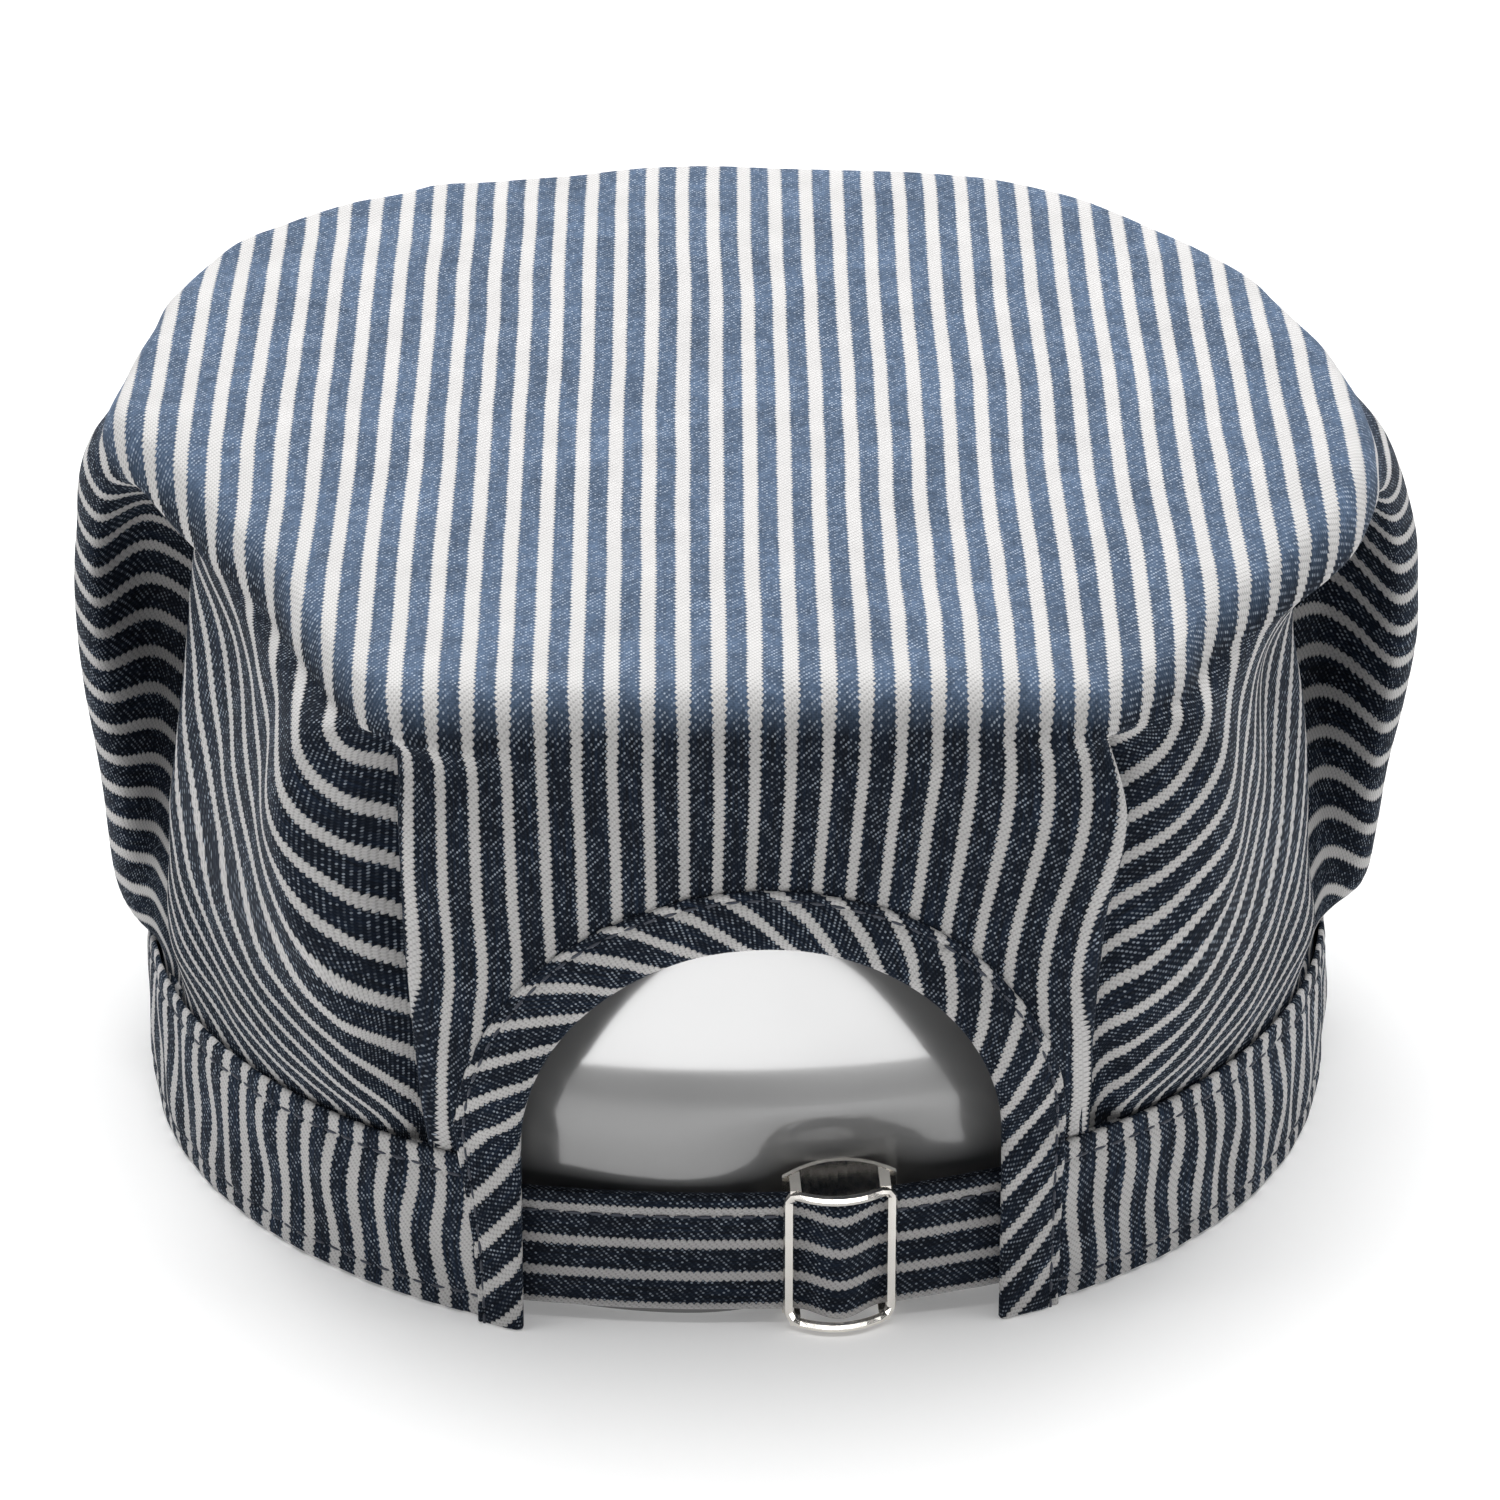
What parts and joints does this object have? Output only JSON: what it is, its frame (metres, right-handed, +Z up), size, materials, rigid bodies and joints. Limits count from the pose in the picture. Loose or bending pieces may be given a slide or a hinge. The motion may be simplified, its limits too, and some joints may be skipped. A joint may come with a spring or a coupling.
{
  "type": "train conductor hat on a plastic shaping insert",
  "caption": "Striped cloth conductor hat: pleated flat-topped crown, plain band, bound back opening with a strap and slide, short peak, and a thin plastic collar that shapes it.",
  "frame": {"origin": "middle of the hat's box, on the surface that the band's lower edge rests on", "axes": "+Z up through the crown, +Y forward to the peak, +X to the right seen from the back opening"},
  "size_m": [0.2112, 0.2468, 0.1093],
  "materials": {
    "denim_crown": "hickory stripe twill, indigo with white stripes",
    "denim_band": "hickory stripe twill, stripes upright",
    "denim_binding": "hickory stripe twill cut on the slant",
    "denim_peak": "hickory stripe twill over a stiff board, topstitched",
    "denim_strap": "hickory stripe twill, stripes lengthwise",
    "nickel": "polished nickel, slightly warm",
    "insert_plastic": "pale grey translucent sheet, glossy"
  },
  "bodies": {
    "root": {"crown": "denim_crown", "band": "denim_band", "arch_binding": "denim_binding", "peak": "denim_peak", "strap_long": "denim_strap", "strap_short": "denim_strap", "slide_buckle": "nickel", "shaping_insert": "insert_plastic"}
  },
  "joints": []
}
